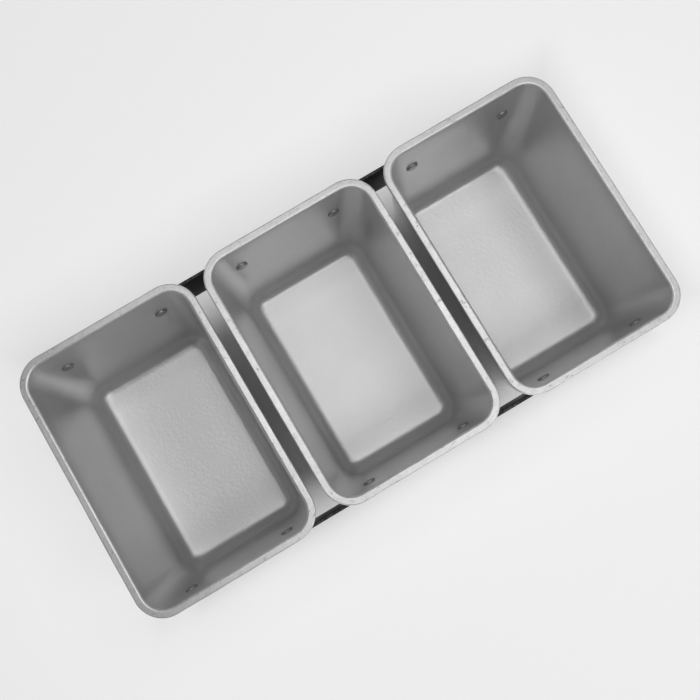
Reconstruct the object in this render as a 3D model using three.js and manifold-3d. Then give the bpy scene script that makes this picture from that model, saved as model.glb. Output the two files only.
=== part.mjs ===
// A section of three cast loaf pans, riveted side by side to two flat steel strips.
// Millimetres. +X runs along the strips, +Y towards the back, +Z up.
// The origin is on the surface that the pans stand on, under the middle of the section.
import * as THREE from 'three';
import { mergeVertices } from 'three/addons/utils/BufferGeometryUtils.js';
import Module from 'manifold-3d';

// Driving dimensions of one pan.
const MOUTH_LENGTH = 189;
const MOUTH_WIDTH = 125;
const MOUTH_CORNER = 15.5;
const CAVITY_DEPTH = 125;
const FLOOR_THICKNESS = 3;
const WALL_THICKNESS = 1.8;
const INSIDE_DRAFT = 0.085;
const OUTSIDE_DRAFT = 0.045;
const FLOOR_FILLET = 12;
const FOOT_FILLET = 14;
const RIM_WIDTH = 6;
const RIM_HEIGHT = 4;
const RIM_OUTER_ROUNDING = 0.8;
const RIM_INNER_ROUNDING = 1.5;

// Driving dimensions of the section.
const PAN_PITCH = 146;
const STRIP_LENGTH = 392;
const STRIP_HEIGHT = 42;
const STRIP_THICKNESS = 2;
const STRIP_CORNER = 4;
const RIVET_DEPTH = 35;
const RIVET_SPACING = 78;
const SHANK_RADIUS = 2.5;
const HEAD_RADIUS = 4.6;
const INNER_HEAD_HEIGHT = 1.3;
const OUTER_HEAD_HEIGHT = 1.9;

// Clearances and the fineness of the curves.
const GAP = 0.3;
const CORNER_STEPS = 8;
const FILLET_STEPS = 5;
const ROUNDING_STEPS = 2;
const RIVET_SEGMENTS = 14;
const HOLE_SEGMENTS = 16;
const HEAD_STEPS = 4;
const DRILL_LENGTH = 16;

const PAN_HEIGHT = CAVITY_DEPTH + FLOOR_THICKNESS;
const HOLE_RADIUS = SHANK_RADIUS + GAP;
const PANS = { left: -PAN_PITCH, middle: 0, right: PAN_PITCH };
const STRIPS = { front: -1, back: 1 };
const RIVETS = { a: -RIVET_SPACING / 2, b: RIVET_SPACING / 2 };

const wasm = await Module();
wasm.setup();

const castAluminium = new THREE.MeshStandardMaterial({ color: 0x9a9a9a, roughness: 0.62, metalness: 0.85 });
const blackSteel = new THREE.MeshStandardMaterial({ color: 0x1c1c1d, roughness: 0.5, metalness: 0.6 });
const rivetAluminium = new THREE.MeshStandardMaterial({ color: 0x8c8c8c, roughness: 0.5, metalness: 0.9 });

// A rounded rectangle as a shape, centred on the origin.
function roundedRectangle(width, length, radius) {
  const x = width / 2 - radius;
  const y = length / 2 - radius;
  const shape = new THREE.Shape();
  shape.absarc(x, y, radius, 0, Math.PI / 2);
  shape.absarc(-x, y, radius, Math.PI / 2, Math.PI);
  shape.absarc(-x, -y, radius, Math.PI, 1.5 * Math.PI);
  shape.absarc(x, -y, radius, 1.5 * Math.PI, 2 * Math.PI);
  return shape;
}

// One ring of the pan's skin: the mouth's outline, moved in by inset, at height z.
function ring(inset, z, radius) {
  const shape = roundedRectangle(MOUTH_WIDTH - 2 * inset, MOUTH_LENGTH - 2 * inset, radius);
  const corners = shape.curves.filter((curve) => curve.isEllipseCurve);
  return corners.flatMap((corner) => corner.getPoints(CORNER_STEPS)).map((p) => new THREE.Vector3(p.x, p.y, z));
}

// The rings round a quarter arc in the section, from one angle to another about its centre.
// The corner radius seen from above grows and shrinks with the inset.
function arcRings(inset, z, radius, from, to, steps, corner) {
  const arc = new THREE.EllipseCurve(inset, z, radius, radius, from, to, to < from);
  return arc.getPoints(steps).map((p) => ring(p.x, p.y, corner(p.x)));
}

// Joins rings of equal count into one closed body, with a flat cap on the first and the last.
function loft(rings) {
  const count = rings[0].length;
  const positions = rings.flat().flatMap((p) => [p.x, p.y, p.z]);
  const index = [];
  for (let k = 0; k + 1 < rings.length; k += 1) {
    for (let i = 0; i < count; i += 1) {
      const a = k * count + i;
      const b = k * count + ((i + 1) % count);
      index.push(a, b, b + count, a, b + count, a + count);
    }
  }
  const top = (rings.length - 1) * count;
  for (const [a, b, c] of capOf(rings[0])) index.push(c, b, a);
  for (const [a, b, c] of capOf(rings.at(-1))) index.push(top + a, top + b, top + c);
  const geometry = new THREE.BufferGeometry();
  geometry.setAttribute('position', new THREE.Float32BufferAttribute(positions, 3));
  geometry.setIndex(index);
  return geometry;
}

function capOf(points) {
  return THREE.ShapeUtils.triangulateShape(points.map((p) => new THREE.Vector2(p.x, p.y)), []);
}

// The skin of a pan, from the middle of its underside out, up, over the rim and down inside.
function panSkin() {
  const insideSlope = Math.atan(INSIDE_DRAFT);
  const outsideSlope = Math.atan(OUTSIDE_DRAFT);
  const rimUnderside = PAN_HEIGHT - RIM_HEIGHT;
  const outerCorner = MOUTH_CORNER + RIM_WIDTH;

  // Outside: the foot fillet is tangent to the underside and to the sloping wall.
  const footCentreZ = FOOT_FILLET;
  const wallInset = -WALL_THICKNESS + OUTSIDE_DRAFT * (PAN_HEIGHT - footCentreZ);
  const footCentre = wallInset + FOOT_FILLET / Math.cos(outsideSlope);
  const wallCorner = MOUTH_CORNER + WALL_THICKNESS;
  const footCorner = (inset) => wallCorner - Math.max(inset - wallInset, 0);
  const foot = arcRings(footCentre, footCentreZ, FOOT_FILLET, 1.5 * Math.PI, Math.PI + outsideSlope,
    FILLET_STEPS, footCorner);
  const underRim = ring(-WALL_THICKNESS + OUTSIDE_DRAFT * RIM_HEIGHT, rimUnderside, wallCorner);

  // Rim: a flat top between two rounded edges.
  const rimCorner = (inset) => MOUTH_CORNER - inset;
  const rimFoot = ring(-RIM_WIDTH, rimUnderside, outerCorner);
  const outerEdge = arcRings(-RIM_WIDTH + RIM_OUTER_ROUNDING, PAN_HEIGHT - RIM_OUTER_ROUNDING, RIM_OUTER_ROUNDING,
    Math.PI, Math.PI / 2, ROUNDING_STEPS, rimCorner);
  const innerEdge = arcRings(-RIM_INNER_ROUNDING, PAN_HEIGHT - RIM_INNER_ROUNDING, RIM_INNER_ROUNDING,
    Math.PI / 2, insideSlope, ROUNDING_STEPS, rimCorner);

  // Inside: the floor fillet is tangent to the sloping wall and to the floor.
  const filletCentreZ = FLOOR_THICKNESS + FLOOR_FILLET;
  const lowInset = INSIDE_DRAFT * (PAN_HEIGHT - filletCentreZ);
  const filletCentre = lowInset + FLOOR_FILLET / Math.cos(insideSlope);
  const floorCorner = (inset) => MOUTH_CORNER - Math.max(inset - lowInset, 0);
  const fillet = arcRings(filletCentre, filletCentreZ, FLOOR_FILLET, Math.PI + insideSlope, 1.5 * Math.PI,
    FILLET_STEPS, floorCorner);
  return loft([...foot, underRim, rimFoot, ...outerEdge, ...innerEdge, ...fillet]);
}

// A mesh as a solid that can be cut, and a solid as a geometry again.
function solidOf(geometry) {
  const bare = geometry.clone();
  bare.deleteAttribute('normal');
  bare.deleteAttribute('uv');
  const merged = mergeVertices(bare, 1e-4);
  return new wasm.Manifold(new wasm.Mesh({
    numProp: 3,
    vertProperties: new Float32Array(merged.attributes.position.array),
    triVerts: new Uint32Array(merged.index.array),
  }));
}

function geometryOf(solid) {
  const mesh = solid.getMesh();
  const geometry = new THREE.BufferGeometry();
  geometry.setAttribute('position', new THREE.Float32BufferAttribute(mesh.vertProperties, 3));
  geometry.setIndex(Array.from(mesh.triVerts));
  geometry.computeVertexNormals();
  return geometry;
}

// The place of a strip on the front or back walls: x along the wall, y up it, z out of it,
// measured from the rivets' line on the outside of the wall.
function wallPlace(side) {
  const outside = MOUTH_LENGTH / 2 + WALL_THICKNESS - OUTSIDE_DRAFT * RIVET_DEPTH;
  const turn = new THREE.Matrix4().makeRotationZ(side > 0 ? Math.PI : 0);
  const shift = new THREE.Matrix4().makeTranslation(0, -outside, PAN_HEIGHT - RIVET_DEPTH);
  const lean = new THREE.Matrix4().makeRotationX(Math.PI / 2 + Math.atan(OUTSIDE_DRAFT));
  return turn.multiply(shift).multiply(lean);
}

// One pan, with a clearance hole for each rivet.
function panGeometry() {
  let pan = solidOf(panSkin());
  for (const side of Object.values(STRIPS)) {
    for (const x of Object.values(RIVETS)) {
      const drill = new THREE.CylinderGeometry(HOLE_RADIUS, HOLE_RADIUS, DRILL_LENGTH, HOLE_SEGMENTS);
      drill.rotateX(Math.PI / 2);
      drill.translate(x, 0, 0);
      drill.applyMatrix4(wallPlace(side));
      pan = pan.subtract(solidOf(drill));
    }
  }
  return geometryOf(pan);
}

// A flat strip, drawn lying on the wall, with a clearance hole for each rivet.
function stripGeometry() {
  const bar = roundedRectangle(STRIP_LENGTH, STRIP_HEIGHT, STRIP_CORNER);
  for (const pan of Object.values(PANS)) {
    for (const offset of Object.values(RIVETS)) {
      bar.holes.push(new THREE.Path().absarc(pan + offset, 0, HOLE_RADIUS, 0, 2 * Math.PI));
    }
  }
  const curveSegments = HOLE_SEGMENTS / 2;
  return new THREE.ExtrudeGeometry(bar, { depth: STRIP_THICKNESS, bevelEnabled: false, curveSegments });
}

// A rivet with its axis on z: a low head inside the pan and a formed head outside the strip.
function rivetGeometry() {
  const wall = WALL_THICKNESS + (INSIDE_DRAFT - OUTSIDE_DRAFT) * RIVET_DEPTH;
  const inner = -wall - GAP;
  const outer = STRIP_THICKNESS + 2 * GAP;
  const innerHead = new THREE.EllipseCurve(0, inner, HEAD_RADIUS, INNER_HEAD_HEIGHT, -Math.PI / 2, 0);
  const outerHead = new THREE.EllipseCurve(0, outer, HEAD_RADIUS, OUTER_HEAD_HEIGHT, 0, Math.PI / 2);
  const profile = [
    ...innerHead.getPoints(HEAD_STEPS),
    new THREE.Vector2(SHANK_RADIUS, inner),
    new THREE.Vector2(SHANK_RADIUS, outer),
    ...outerHead.getPoints(HEAD_STEPS),
  ];
  return new THREE.LatheGeometry(profile, RIVET_SEGMENTS).rotateX(Math.PI / 2);
}

function named(name, geometry, material) {
  const mesh = new THREE.Mesh(geometry, material);
  mesh.name = name;
  return mesh;
}

const section = new THREE.Group();

const pan = panGeometry();
for (const [place, x] of Object.entries(PANS)) {
  const mesh = named(`pan_${place}`, pan, castAluminium);
  mesh.position.x = x;
  section.add(mesh);
}

const strip = stripGeometry();
const rivet = rivetGeometry();
for (const [wall, side] of Object.entries(STRIPS)) {
  const onWall = new THREE.Group();
  wallPlace(side).decompose(onWall.position, onWall.quaternion, onWall.scale);
  section.add(onWall);
  const bar = named(`strip_${wall}`, strip, blackSteel);
  bar.position.z = GAP;
  onWall.add(bar);
  for (const [place, x] of Object.entries(PANS)) {
    for (const [end, offset] of Object.entries(RIVETS)) {
      const mesh = named(`rivet_${place}_${wall}_${end}`, rivet, rivetAluminium);
      // The back wall's own x axis runs the other way.
      mesh.position.x = -side * (x + offset);
      onWall.add(mesh);
    }
  }
}

export default section;
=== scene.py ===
# %% [markdown]
# # A strapped section of three cast loaf pans
#
# A bakery fills and bakes its loaf pans in sections: here three cast-aluminium pans stand side by side,
# and two flat black steel strips, riveted across their end walls, hold them in a row. This lesson builds
# the fine surface of each piece with mesh operators and gives each metal a finish of its own. The outlines
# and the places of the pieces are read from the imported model, which is loaded first and stays as it is.

# %% Load the fixed frame
import math

import bmesh
import bpy
from mathutils import Matrix, Vector, noise


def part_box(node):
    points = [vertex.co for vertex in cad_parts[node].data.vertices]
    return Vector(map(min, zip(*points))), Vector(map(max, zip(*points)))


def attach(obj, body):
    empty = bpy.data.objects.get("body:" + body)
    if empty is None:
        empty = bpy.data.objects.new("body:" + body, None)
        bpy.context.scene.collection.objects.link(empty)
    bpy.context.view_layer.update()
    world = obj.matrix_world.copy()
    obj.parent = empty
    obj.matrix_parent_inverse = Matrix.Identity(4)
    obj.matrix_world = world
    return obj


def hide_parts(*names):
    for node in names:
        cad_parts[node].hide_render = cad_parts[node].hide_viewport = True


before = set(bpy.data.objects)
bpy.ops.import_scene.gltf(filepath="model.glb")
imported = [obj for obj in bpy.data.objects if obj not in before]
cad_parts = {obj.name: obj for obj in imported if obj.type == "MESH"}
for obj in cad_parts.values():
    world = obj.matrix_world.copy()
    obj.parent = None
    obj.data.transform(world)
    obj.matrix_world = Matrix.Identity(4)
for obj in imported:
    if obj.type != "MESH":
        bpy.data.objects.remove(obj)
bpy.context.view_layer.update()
MM = 0.001
print("nodes in the frame:", len(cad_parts))

# %% [markdown]
# The pans, strips and rivets repeat, so each is named once here, with the side of the section it is on.
# The driving sizes of the casting are the ones that a pattern maker would be given: the width of the rim,
# the draft that lets the casting leave its mould, and the fillets that let a loaf leave the pan. They are
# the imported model's own.

# %% Names and sizes
PANS = ("left", "middle", "right")
WALLS = {"front": -1, "back": 1}

RIM_WIDTH = 6 * MM
RIM_HEIGHT = 4 * MM
RIM_OUTER_ROUNDING = 0.8 * MM
RIM_INNER_ROUNDING = 1.5 * MM
WALL = 1.8 * MM
FLOOR = 3 * MM
MOUTH_CORNER = 15.5 * MM
INSIDE_DRAFT = 0.085
OUTSIDE_DRAFT = 0.045
FLOOR_FILLET = 12 * MM
FOOT_FILLET = 14 * MM

STRIP_HEIGHT = 42 * MM
STRIP_THICKNESS = 2 * MM
RIVET_DEPTH = 35 * MM
RIVET_SPACING = 78 * MM
SHANK_RADIUS = 2.5 * MM
HEAD_RADIUS = 4.6 * MM
GAP = 0.3 * MM
DRILL_LENGTH = 16 * MM
RIVET_OFFSETS = {"a": -RIVET_SPACING / 2, "b": RIVET_SPACING / 2}

low, high = (Vector(corner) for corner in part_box("pan_middle"))
RIM_SIZE = high - low
PAN_HEIGHT = RIM_SIZE.z
PAN_PLACES = {name: (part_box(f"pan_{name}")[0][0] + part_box(f"pan_{name}")[1][0]) / 2 for name in PANS}
print("rim outside:", [round(side, 4) for side in RIM_SIZE], "pan places:", PAN_PLACES)

# %% [markdown]
# The camera looks almost straight down into the pans, with the section turned across the picture. It
# comes before the pieces, so that every later step can be looked at from the same place. An aim point, a
# distance and three angles describe it.

# %% The camera
AIM = Vector((-0.0042, -0.0066, PAN_HEIGHT))
DISTANCE = 0.632
LEAN = math.radians(6.83)
LEAN_HEADING = math.radians(66.4)
ROW_ANGLE = math.radians(30.58)
LENS = 47.3
SENSOR = 36.0


def make_camera():
    data = bpy.data.cameras.new("camera")
    data.sensor_width = SENSOR
    data.lens = LENS
    data.clip_start = 0.05
    camera = bpy.data.objects.new("camera", data)
    bpy.context.scene.collection.objects.link(camera)
    view = Vector((
        math.sin(LEAN) * math.cos(LEAN_HEADING),
        math.sin(LEAN) * math.sin(LEAN_HEADING),
        -math.cos(LEAN),
    ))
    # The row of pans, +X, rises to the right in the picture by ROW_ANGLE.
    along_row = (Vector((1, 0, 0)) - view * view.x).normalized()
    right = Matrix.Rotation(ROW_ANGLE, 3, view) @ along_row
    up = right.cross(view)
    turn = Matrix((right, up, -view)).transposed()
    camera.matrix_world = Matrix.Translation(AIM - view * DISTANCE) @ turn.to_4x4()
    bpy.context.scene.camera = camera
    return camera


camera = make_camera()
print("camera at", [round(value, 4) for value in camera.matrix_world.translation])

# %% [markdown]
# Helpers for shaping. A bmesh is a mesh in memory, and its operators are the same tools that the editor
# has. Some of the helpers shape a bmesh, such as the one that pulls a face down and moves its corners in,
# which is how a casting's draft is made. The others turn a bmesh into an object, drill it and finish it.

# %% Shaping helpers
HAIR = 0.01 * MM  # points closer than this count as one place


def bevel(bm, edges, offset, segments):
    """Rounds edges."""
    bmesh.ops.bevel(
        bm, geom=edges, offset=offset, offset_type="OFFSET", segments=segments, profile=0.5,
        affect="EDGES", clamp_overlap=False, material=-1, loop_slide=True,
    )


def pull(bm, face, depth, draft):
    """Extrudes a face downwards, and moves its four rounded corners in as a mould's draft does."""
    pulled = bmesh.ops.extrude_face_region(bm, geom=[face])
    verts = [item for item in pulled["geom"] if isinstance(item, bmesh.types.BMVert)]
    end = next(item for item in pulled["geom"] if isinstance(item, bmesh.types.BMFace))
    bmesh.ops.delete(bm, geom=[face], context="FACES_ONLY")
    shift = abs(depth) * draft
    for side_x in (-1, 1):
        for side_y in (-1, 1):
            corner = [v for v in verts if v.co.x * side_x > 0 and v.co.y * side_y > 0]
            bmesh.ops.translate(bm, verts=corner, vec=(-side_x * shift, -side_y * shift, depth))
    return end


def inset(bm, face, width):
    """Insets one face by an even width, which leaves a border round it."""
    bmesh.ops.inset_region(bm, faces=[face], thickness=width, use_even_offset=True)


def spun(profile, segments):
    """Spins a line of (radius, height) points round the z axis into a closed, turned solid."""
    bm = bmesh.new()
    verts = [bm.verts.new((radius, 0, height)) for radius, height in profile]
    edges = [bm.edges.new(pair) for pair in zip(verts, verts[1:])]
    bmesh.ops.spin(
        bm, geom=verts + edges, cent=(0, 0, 0), axis=(0, 0, 1),
        angle=2 * math.pi, steps=segments, use_merge=True,
    )
    bmesh.ops.remove_doubles(bm, verts=bm.verts, dist=0.001 * MM)
    bmesh.ops.recalc_face_normals(bm, faces=bm.faces)
    return bm


def ring_edges(bm, radius, height):
    """The edges of a turned solid that run round it at one radius and height."""
    def on_ring(vert):
        return abs(vert.co.xy.length - radius) < HAIR and abs(vert.co.z - height) < HAIR

    return [edge for edge in bm.edges if on_ring(edge.verts[0]) and on_ring(edge.verts[1])]


def object_from(bm, name):
    """Makes an object of a bmesh, with its faces outwards, and frees the bmesh."""
    bmesh.ops.recalc_face_normals(bm, faces=bm.faces)
    mesh = bpy.data.meshes.new(name)
    bm.to_mesh(mesh)
    bm.free()
    piece = bpy.data.objects.new(name, mesh)
    bpy.context.scene.collection.objects.link(piece)
    return piece


def drilled(piece, drills):
    """Cuts each drill out of a piece for good, and throws the drills away."""
    for drill in drills:
        cut = piece.modifiers.new("hole", "BOOLEAN")
        cut.operation = "DIFFERENCE"
        cut.solver = "EXACT"
        cut.object = drill
    bpy.context.view_layer.update()
    shaped = piece.evaluated_get(bpy.context.evaluated_depsgraph_get())
    mesh = bpy.data.meshes.new_from_object(shaped)
    piece.modifiers.clear()
    piece.data = mesh
    for drill in drills:
        bpy.data.objects.remove(drill)


def finished(piece, node, material, smooth_angle=30):
    """Gives a piece its finish, smooths it except at real corners, and puts it on the frame."""
    mesh = piece.data
    mesh.shade_smooth()
    mesh.set_sharp_from_angle(angle=math.radians(smooth_angle))
    mesh.materials.clear()
    mesh.materials.append(material)
    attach(piece, "root")
    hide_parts(node)
    print(piece.name, len(mesh.polygons), "faces")


def wall_place(side, across):
    """A place on the end walls: x along the wall, y up it, z out of it, from the rivets' line."""
    outside = RIM_SIZE.y / 2 - RIM_WIDTH + WALL - OUTSIDE_DRAFT * RIVET_DEPTH
    turn = Matrix.Rotation(math.pi if side > 0 else 0, 4, "Z")
    shift = Matrix.Translation((-side * across, -outside, PAN_HEIGHT - RIVET_DEPTH))
    lean = Matrix.Rotation(math.pi / 2 + math.atan(OUTSIDE_DRAFT), 4, "X")
    return turn @ shift @ lean


def drill_at(side, across):
    """A drill for one rivet hole, long enough for the wall and the strip together."""
    radius = SHANK_RADIUS + GAP
    bm = bmesh.new()
    bmesh.ops.create_cone(
        bm, cap_ends=True, segments=32, radius1=radius, radius2=radius, depth=DRILL_LENGTH,
    )
    bmesh.ops.transform(bm, matrix=wall_place(side, across), verts=bm.verts)
    return object_from(bm, "drill")


# %% [markdown]
# Finishes are worked out by sums on sockets. A node tree is easier to read as formulas, so this small
# class wraps a socket: adding, multiplying or comparing two of them adds the Math nodes that do it.

# %% Sums on sockets
class Value:
    """One output socket that can be used in sums."""

    def __init__(self, nodes, socket):
        self.nodes = nodes
        self.socket = socket

    def sum(self, operation, *terms):
        """A Math node on these terms, which are sockets or numbers."""
        return self.nodes.node("ShaderNodeMath", {"operation": operation}, dict(enumerate(terms)))

    def __add__(self, other):
        return self.sum("ADD", self, other)

    def __sub__(self, other):
        return self.sum("SUBTRACT", self, other)

    def __rsub__(self, other):
        return self.sum("SUBTRACT", other, self)

    def __mul__(self, other):
        return self.sum("MULTIPLY", self, other)

    __radd__ = __add__

    def larger(self, other):
        return self.sum("MAXIMUM", self, other)

    def size(self):
        """Its distance from 0."""
        return self.sum("ABSOLUTE", self)

    def step(self, start, end):
        """0 below start, 1 above end, and a smooth rise between them."""
        settings = {"interpolation_type": "SMOOTHSTEP"}
        return self.nodes.node("ShaderNodeMapRange", settings, {0: self, 1: start, 2: end})


class Nodes:
    """A node tree whose nodes are added one by one."""

    def __init__(self, tree):
        self.tree = tree

    def node(self, kind, settings, values, output=0):
        """Adds a node, sets it up, fills or links its inputs, and returns one output."""
        node = self.tree.nodes.new(kind)
        for key, setting in settings.items():
            setattr(node, key, setting)
        for key, value in values.items():
            self.feed(node.inputs[key], value)
        return Value(self, node.outputs[output])

    def feed(self, socket, value):
        """Links a value to a socket, or sets the socket to a constant."""
        if isinstance(value, Value):
            self.tree.links.new(value.socket, socket)
        else:
            socket.default_value = value


class Finish(Nodes):
    """A material, with the patterns that the finishes are made of."""

    def __init__(self, name):
        self.material = bpy.data.materials.new(name)
        self.material.use_nodes = True
        super().__init__(self.material.node_tree)
        self.shader = self.tree.nodes["Principled BSDF"]
        self.place = self.node("ShaderNodeTexCoord", {}, {}, output="Object")

    def set(self, **values):
        """Feeds the shader: base_color goes to Base Color, and so on."""
        for name, value in values.items():
            self.feed(self.shader.inputs[name.replace("_", " ").title()], value)

    def noise(self, size, detail=2.0, roughness=0.5, place=None):
        """Soft noise whose blotches are about size metres across."""
        values = {"Vector": place or self.place, "Scale": 1 / size, "Detail": detail, "Roughness": roughness}
        return self.node("ShaderNodeTexNoise", {}, values)

    def cells(self, size):
        """Rounded cells about size metres across: 0 in the middle of each, 1 at its edge."""
        values = {"Vector": self.place, "Scale": 1 / size, "Smoothness": 0.6}
        return self.node("ShaderNodeTexVoronoi", {"feature": "SMOOTH_F1"}, values, output="Distance")

    def mix(self, amount, first, second):
        """A colour between two colours."""
        settings = {"data_type": "RGBA"}
        return self.node("ShaderNodeMix", settings, {0: amount, 6: first, 7: second}, output=2)

    def relief(self, height, distance):
        """A normal from a height: distance is the height of 1, in metres."""
        values = {"Height": height, "Distance": distance, "Strength": 1.0}
        return self.node("ShaderNodeBump", {}, values)

    def axis(self, axis):
        """How far a point is along one axis, in metres."""
        return self.node("ShaderNodeSeparateXYZ", {}, {0: self.place}, output=axis)


def grey(level):
    """A grey in linear light."""
    return (level, level, level, 1.0)


# %% [markdown]
# The pans are cast in a metal mould whose coating leaves a pale, matte, finely pebbled skin. It shines softly
# where it faces a lamp. Only the rim is ground by hand after casting: its scratches scatter the light, which
# makes it paler, and it has dull patches and small nicks. One material holds both, and the height of a point
# says where the rim begins.

# %% Cast aluminium
def cast_aluminium():
    finish = Finish("cast_aluminium")
    height = finish.axis("Z")
    grain = finish.noise(0.8 * MM, detail=3.0, roughness=0.6)
    pebble = finish.cells(2.4 * MM)
    swell = finish.noise(7 * MM, detail=2.0)
    cloud = finish.noise(35 * MM, detail=2.0)
    sand = finish.noise(0.9 * MM, detail=3.0, roughness=0.7)
    scrape = finish.noise(5 * MM, detail=4.0, roughness=0.6)
    patch = finish.noise(24 * MM, detail=2.0)
    nick = finish.noise(1.9 * MM, detail=4.0, roughness=0.6)

    ragged = height + (scrape - 0.5) * (0.5 * MM)
    rim = ragged.step(PAN_HEIGHT - 1.5 * MM, PAN_HEIGHT - 0.9 * MM)
    pit = nick.step(0.62, 0.70)
    tone = (grain - 0.5) * 0.8 + (cloud - 0.5) * 0.5 + 0.5
    skin = finish.mix(tone, grey(0.72), grey(0.86))
    ground_tone = sand.step(0.3, 0.7) * 0.6 + scrape.step(0.35, 0.65) * 0.4
    ground = finish.mix(ground_tone, grey(0.82), grey(1.0))
    ground = finish.mix(pit * 0.6, ground, grey(0.45))
    skin_relief = pebble * cloud.step(0.25, 0.6) * 0.65 + swell * 0.25 + grain * 0.3
    rim_relief = scrape * 0.3 + patch * 0.3 + sand * 0.3 - pit * 0.8
    finish.set(
        base_color=finish.mix(rim, skin, ground),
        metallic=0.76 + rim * 0.04,
        roughness=0.395 + (grain - 0.5) * 0.08 - rim * 0.015 + (patch - 0.5) * rim * 0.12,
        normal=finish.relief(skin_relief * (1 - rim) + rim_relief * rim, 0.12 * MM),
    )
    return finish.material


# %% [markdown]
# The strips are plain flat bar with a black finish. The satin face is nearly even, with faint rolling marks
# along the bar. The long edges are coloured paler in patches, partly as worn finish and partly as a painted
# highlight where they catch the light.

# %% Black steel
def black_steel():
    finish = Finish("black_steel")
    drawn = finish.node("ShaderNodeMapping", {}, {"Vector": finish.place, "Scale": (0.08, 1.0, 1.0)})
    rolling = finish.noise(1.2 * MM, detail=3.0, place=drawn)
    mottle = finish.noise(9 * MM, detail=3.0)
    chip = finish.noise(3 * MM, detail=4.0, roughness=0.65)
    height = finish.axis("Z")
    top_edge = PAN_HEIGHT - RIVET_DEPTH + STRIP_HEIGHT / 2
    low_edge = top_edge - STRIP_HEIGHT
    upper = height.step(top_edge - 0.7 * MM, top_edge - 0.15 * MM)
    lower = 1 - height.step(low_edge + 0.15 * MM, low_edge + 0.7 * MM)
    # The long edges are painted paler and more metallic in patches: partly worn finish, partly a painted
    # highlight where they catch the light.
    edge_wear_and_painted_highlight = (upper + lower) * chip.step(0.38, 0.6)
    tone = (rolling - 0.5) * 0.5 + mottle * 0.6
    finish.set(
        base_color=finish.mix(edge_wear_and_painted_highlight * 0.6, finish.mix(tone, grey(0.008), grey(0.026)), grey(0.16)),
        metallic=0.2 + edge_wear_and_painted_highlight * 0.5,
        roughness=0.40 + mottle * 0.16,
        normal=finish.relief(rolling * 0.4 + mottle * 0.6, 0.05 * MM),
    )
    return finish.material


# %% [markdown]
# The rivets are soft aluminium, squeezed cold. Their heads are coloured darker than the pans round them, as
# painted shade.

# %% Rivet aluminium
def rivet_aluminium():
    finish = Finish("rivet_aluminium")
    grain = finish.noise(0.7 * MM, detail=3.0, roughness=0.6)
    blotch = finish.noise(2.5 * MM, detail=3.0)
    finish.set(
        # The dark greys of the heads are painted shade, which stands in for the shade round them.
        base_color=finish.mix(grain * 0.4 + blotch * 0.6, grey(0.30), grey(0.62)),
        metallic=0.95,
        roughness=0.34 + grain * 0.12,
        normal=finish.relief(grain * 0.5 + blotch * 0.5, 0.08 * MM),
    )
    return finish.material


ALUMINIUM = cast_aluminium()
STEEL = black_steel()
RIVET = rivet_aluminium()
print("finishes:", ALUMINIUM.name, STEEL.name, RIVET.name)

# %% [markdown]
# A pan is one casting. It could be lofted from rings, but the editor's own tools say more plainly how it
# is shaped: the rim is a slab with rounded corners, the body is pulled down out of the slab's underside,
# the cavity is pulled down out of its top, and both bottoms are rounded with a bevel.

# %% The shape of a pan
CORNER_SEGMENTS = 14
FILLET_SEGMENTS = 10
ROUNDING_SEGMENTS = 4


def rim_slab(bm):
    """The slab that the rim is left from, with its four upright edges rounded."""
    bmesh.ops.create_cube(bm, size=1.0)
    size = Vector((RIM_SIZE.x, RIM_SIZE.y, RIM_HEIGHT))
    bmesh.ops.scale(bm, verts=bm.verts, vec=size)
    bmesh.ops.translate(bm, verts=bm.verts, vec=(0, 0, PAN_HEIGHT - RIM_HEIGHT / 2))
    upright = [e for e in bm.edges if abs(e.verts[0].co.z - e.verts[1].co.z) > RIM_HEIGHT / 2]
    bevel(bm, upright, MOUTH_CORNER + RIM_WIDTH, CORNER_SEGMENTS)


def flat_face(bm, upwards):
    """The largest face that looks straight up, or straight down."""
    facing = [face for face in bm.faces if (face.normal.z if upwards else -face.normal.z) > 0.99]
    return max(facing, key=lambda face: face.calc_area())


def shape_pan(bm):
    rim_slab(bm)
    bm.normal_update()
    underside = flat_face(bm, upwards=False)
    mouth = flat_face(bm, upwards=True)
    inset(bm, underside, RIM_WIDTH - WALL)
    outer_edge = list(mouth.edges)
    inset(bm, mouth, RIM_WIDTH)
    inner_edge = list(mouth.edges)
    foot = pull(bm, underside, -(PAN_HEIGHT - RIM_HEIGHT), OUTSIDE_DRAFT)
    floor = pull(bm, mouth, -(PAN_HEIGHT - FLOOR), INSIDE_DRAFT)
    bevel(bm, list(foot.edges), FOOT_FILLET, FILLET_SEGMENTS)
    bevel(bm, list(floor.edges), FLOOR_FILLET, FILLET_SEGMENTS)
    bevel(bm, outer_edge, RIM_OUTER_ROUNDING, ROUNDING_SEGMENTS)
    bevel(bm, inner_edge, RIM_INNER_ROUNDING, ROUNDING_SEGMENTS)
    # A narrow border round the rim's top keeps its shading flat right up to the roundings.
    bm.normal_update()
    top = [f for f in bm.faces if f.normal.z > 0.9999 and f.calc_center_median().z > PAN_HEIGHT - RIM_HEIGHT]
    bmesh.ops.inset_region(bm, faces=top, thickness=0.25 * MM, use_even_offset=True)


# %% [markdown]
# A casting that a person has ground is never quite true. Cutting the mesh into a grid gives it points to
# move: the floor rises a little towards its fillets, the walls and the floor swell by a tenth of a
# millimetre over a hand's width, and the rim's edges wander a little more, mostly inwards. The noise is a
# formula, so it is the same every time.

# %% Unevenness of the casting
GRID = 4.5 * MM
WALL_CUTS = 8
WALL_CUT_PITCH = 12 * MM
DISH = 0.2 * MM
DISH_WIDTH = 12 * MM
SWELL = 0.12 * MM
SWELL_SIZE = 55 * MM
WANDER = 0.22 * MM
WANDER_SIZE = 17 * MM
WANDER_INWARDS = 0.3


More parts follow.
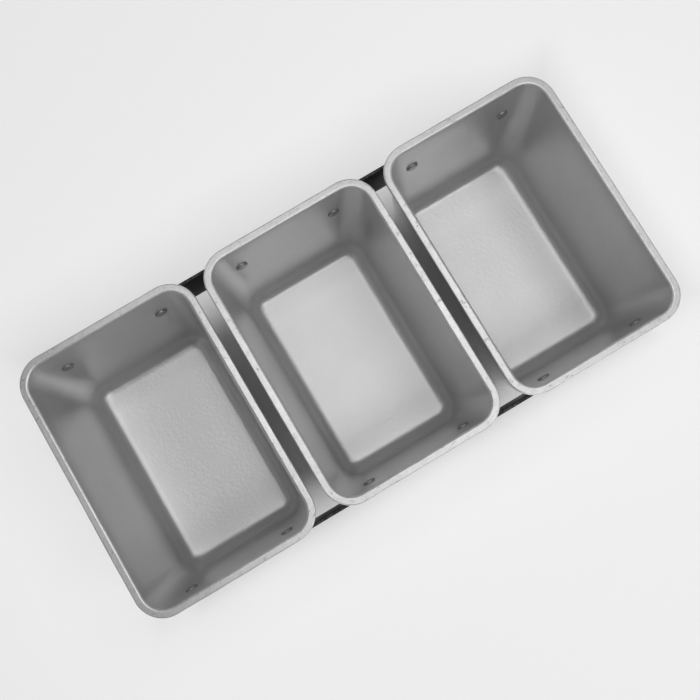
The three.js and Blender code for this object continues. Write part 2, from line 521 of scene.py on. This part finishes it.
def cut_grid(bm):
    """Cuts the whole mesh along evenly spaced planes across x and across y."""
    for axis, extent in enumerate((RIM_SIZE.x, RIM_SIZE.y)):
        count = int(extent / GRID)
        for step in range(1, count):
            normal = Vector((0, 0, 0))
            normal[axis] = 1
            place = normal * (-extent / 2 + extent * step / count)
            everything = bm.verts[:] + bm.edges[:] + bm.faces[:]
            bmesh.ops.bisect_plane(bm, geom=everything, plane_co=place, plane_no=normal, dist=HAIR)


def cut_heights(bm):
    """Cuts the walls at even heights, so that they can swell as well."""
    for step in range(1, WALL_CUTS + 1):
        height = FLOOR + FLOOR_FILLET + step * WALL_CUT_PITCH
        everything = bm.verts[:] + bm.edges[:] + bm.faces[:]
        bmesh.ops.bisect_plane(bm, geom=everything, plane_co=(0, 0, height), plane_no=(0, 0, 1), dist=HAIR)


def dish(bm):
    """Raises the floor a little towards its fillets, as a worn mould core leaves it."""
    border = RIM_WIDTH + INSIDE_DRAFT * (PAN_HEIGHT - FLOOR) + FLOOR_FILLET
    half_x = RIM_SIZE.x / 2 - border
    half_y = RIM_SIZE.y / 2 - border
    for vert in bm.verts:
        height = vert.co.z - FLOOR
        within = abs(vert.co.x) < half_x + FLOOR_FILLET and abs(vert.co.y) < half_y + FLOOR_FILLET
        if not within or not -HAIR < height < FLOOR_FILLET:
            continue
        edge = max(abs(vert.co.x) - half_x, abs(vert.co.y) - half_y)
        rise = min(max(1 + edge / DISH_WIDTH, 0), 1) ** 2
        vert.co.z += DISH * rise * (1 - max(height, 0) / FLOOR_FILLET)


def uneven(bm, seed):
    """Moves each point a little along its normal, and at the rim only sideways.

    The underside and the rim's top stay flat.
    """
    bm.normal_update()
    shifts = []
    for vert in bm.verts:
        on_underside = vert.co.z < FOOT_FILLET * 0.1
        on_top = vert.co.z > PAN_HEIGHT - HAIR
        if on_underside or on_top:
            continue
        at = vert.co + Vector((seed, 0, 0))
        shift = vert.normal * SWELL * noise.noise(at / SWELL_SIZE)
        if vert.co.z > PAN_HEIGHT - RIM_HEIGHT - 0.1 * MM:
            sideways = Vector((vert.normal.x, vert.normal.y, 0))
            shift = sideways * WANDER * (noise.noise(at / WANDER_SIZE) - WANDER_INWARDS)
        shifts.append((vert, shift))
    for vert, shift in shifts:
        vert.co += shift


# %% [markdown]
# The three pans come from the same mould, but each casting has its own unevenness. Each one is drilled for
# its four rivets.

# %% The pans
for number, (name, place) in enumerate(PAN_PLACES.items()):
    bm = bmesh.new()
    shape_pan(bm)
    cut_grid(bm)
    cut_heights(bm)
    dish(bm)
    uneven(bm, seed=number)
    bmesh.ops.translate(bm, verts=bm.verts, vec=(place, 0, 0))
    pan = object_from(bm, f"cast_pan_{name}")
    holes = [drill_at(side, place + offset) for side in WALLS.values() for offset in RIVET_OFFSETS.values()]
    drilled(pan, holes)
    finished(pan, f"pan_{name}", ALUMINIUM)

# %% [markdown]
# A strip is a length of flat bar with its corners clipped round and its sharp edges taken off. It lies on
# the end walls of all three pans, so it leans as they do, and it is drilled for six rivets.

# %% The strips
STRIP_CORNER = 4 * MM
EDGE_ROUNDING = 0.35 * MM
RIVET_PLACES = [place + offset for place in PAN_PLACES.values() for offset in RIVET_OFFSETS.values()]


def shape_strip(bm, length):
    bmesh.ops.create_cube(bm, size=1.0)
    bmesh.ops.scale(bm, verts=bm.verts, vec=(length, STRIP_HEIGHT, STRIP_THICKNESS))
    corners = [e for e in bm.edges if abs(e.verts[0].co.z - e.verts[1].co.z) > STRIP_THICKNESS / 2]
    bevel(bm, corners, STRIP_CORNER, segments=6)
    bm.normal_update()
    sharp = [e for e in bm.edges if e.calc_face_angle(0) > math.radians(60)]
    bevel(bm, sharp, EDGE_ROUNDING, segments=2)


for name, side in WALLS.items():
    low, high = (Vector(corner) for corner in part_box(f"strip_{name}"))
    bm = bmesh.new()
    shape_strip(bm, high.x - low.x)
    bmesh.ops.translate(bm, verts=bm.verts, vec=(0, 0, GAP + STRIP_THICKNESS / 2))
    bmesh.ops.transform(bm, matrix=wall_place(side, 0), verts=bm.verts)
    strip = object_from(bm, f"steel_strip_{name}")
    drilled(strip, [drill_at(side, place) for place in RIVET_PLACES])
    finished(strip, f"strip_{name}", STEEL)

# %% [markdown]
# A rivet is a turned shape, so its outline is spun round its axis. The head inside the pan is low, with a
# flat face and a round edge, so that it doesn't catch the loaf. The end outside the strip was hammered into
# a fuller head, with a small flat where the last blow fell.

# %% The rivets
RIVET_SEGMENTS = 40
INNER_HEAD = 1.3 * MM
INNER_EDGE = 1.2 * MM
OUTER_HEAD = 1.9 * MM
OUTER_FLAT = 1.6 * MM
OUTER_EDGE = 0.25 * MM


def shape_rivet():
    wall = WALL + (INSIDE_DRAFT - OUTSIDE_DRAFT) * RIVET_DEPTH
    inner = -wall
    outer = STRIP_THICKNESS + 2 * GAP
    dome = [
        (OUTER_FLAT + (HEAD_RADIUS - OUTER_FLAT) * math.cos(turn), outer + OUTER_HEAD * math.sin(turn))
        for turn in (math.radians(angle) for angle in range(0, 91, 10))
    ]
    profile = [
        (0, inner - INNER_HEAD - GAP), (HEAD_RADIUS, inner - INNER_HEAD - GAP), (HEAD_RADIUS, inner),
        (SHANK_RADIUS, inner), (SHANK_RADIUS, outer), *dome, (0, outer + OUTER_HEAD),
    ]
    bm = spun(profile, RIVET_SEGMENTS)
    bevel(bm, ring_edges(bm, HEAD_RADIUS, inner - INNER_HEAD - GAP), INNER_EDGE, segments=5)
    bevel(bm, ring_edges(bm, HEAD_RADIUS, outer), OUTER_EDGE, segments=2)
    return bm


for wall_name, side in WALLS.items():
    for pan_name, place in PAN_PLACES.items():
        for end, offset in RIVET_OFFSETS.items():
            node = f"rivet_{pan_name}_{wall_name}_{end}"
            bm = shape_rivet()
            bmesh.ops.transform(bm, matrix=wall_place(side, place + offset), verts=bm.verts)
            rivet = object_from(bm, f"set_{node}")
            finished(rivet, node, RIVET, smooth_angle=40)

# %% [markdown]
# The stage is a pale table under two large softboxes that hang overhead, a wide one towards the back and a
# narrower, brighter one towards the front, with the camera below them. Metal shows what it reflects, so the
# size and place of a softbox matter more than its power. The table has a painted glow of its own, which is
# painted light; it is off under the pans, as painted shade, and dimmer beside them, as a painted shadow.
# So it stays pale without a flood of light that would flatten the pans.

# %% Table and light
# The strength of the table's painted glow, which is painted light.
TABLE_PAINTED_GLOW = 0.56
TABLE_SIZE = 12.0
TABLE_DROP = 0.1 * MM  # below the undersides, because two faces in one plane would flicker
# Two rectangles on the table, each with its centre and its half size: the painted glow is off inside the
# first, as painted shade under and between the pans, and dimmed near the second, as a painted shadow beside
# them.
PAINTED_SHADE_UNDER_PANS = ((0.0075, 0.0025), (0.197, 0.095))
PAINTED_SHADOW_BESIDE_PANS = ((0.02, 0.02), (0.230, 0.095))


def beyond(finish, centre, half):
    """How far a point of the table is outside a rectangle, in metres; below 0 inside it."""
    across = (finish.axis("X") - centre[0]).size() - half[0]
    along = (finish.axis("Y") - centre[1]).size() - half[1]
    return across.larger(along)


def pale_table_with_painted_glow():
    finish = Finish("pale_table_with_painted_glow")
    # The table glows as painted light; the glow is off under and between the pans as painted shade, and
    # dimmed beside them as a painted shadow.
    clear_of_painted_shade = beyond(finish, *PAINTED_SHADE_UNDER_PANS).step(-35 * MM, 30 * MM)
    clear_of_painted_shadow = beyond(finish, *PAINTED_SHADOW_BESIDE_PANS).step(-10 * MM, 50 * MM)
    painted_glow = clear_of_painted_shade * (clear_of_painted_shadow * 0.3 + 0.7)
    finish.set(base_color=grey(0.80), roughness=0.9, emission_color=finish.mix(painted_glow, grey(0.0), grey(1.0)))
    finish.shader.inputs["Emission Strength"].default_value = TABLE_PAINTED_GLOW
    bm = bmesh.new()
    bmesh.ops.create_grid(bm, x_segments=1, y_segments=1, size=TABLE_SIZE)
    bmesh.ops.translate(bm, verts=bm.verts, vec=(0, 0, -TABLE_DROP))
    table = object_from(bm, "table")
    table.data.materials.append(finish.material)


def sky(horizon, overhead):
    """A studio that is pale near the horizon, as its walls are, and dim overhead."""
    world = bpy.data.worlds.new("sky")
    world.use_nodes = True
    nodes = Nodes(world.node_tree)
    background = nodes.tree.nodes["Background"]
    background.inputs["Color"].default_value = grey(1.0)
    direction = nodes.node("ShaderNodeTexCoord", {}, {}, output="Generated")
    upwards = nodes.node("ShaderNodeSeparateXYZ", {}, {0: direction}, output="Z")
    nodes.feed(background.inputs["Strength"], horizon + upwards.step(0.2, 0.5) * (overhead - horizon))
    bpy.context.scene.world = world


def softbox(name, centre, size, brightness):
    """A rectangular lamp that shines straight down. Brightness is that of its face, whatever its size."""
    data = bpy.data.lights.new(name, "AREA")
    data.shape = "RECTANGLE"
    data.size, data.size_y = size
    data.energy = math.pi * data.size * data.size_y * brightness
    lamp = bpy.data.objects.new(name, data)
    lamp.location = centre
    bpy.context.scene.collection.objects.link(lamp)


pale_table_with_painted_glow()
sky(horizon=0.6, overhead=0.025)
softbox("back_softbox", (0.15, 0.15, 1.3), (1.2, 0.6), 1.45)
softbox("front_softbox", (0.30, -0.60, 1.3), (0.9, 0.3), 3.5)
bpy.context.scene.view_settings.view_transform = "Standard"
print("stage ready")
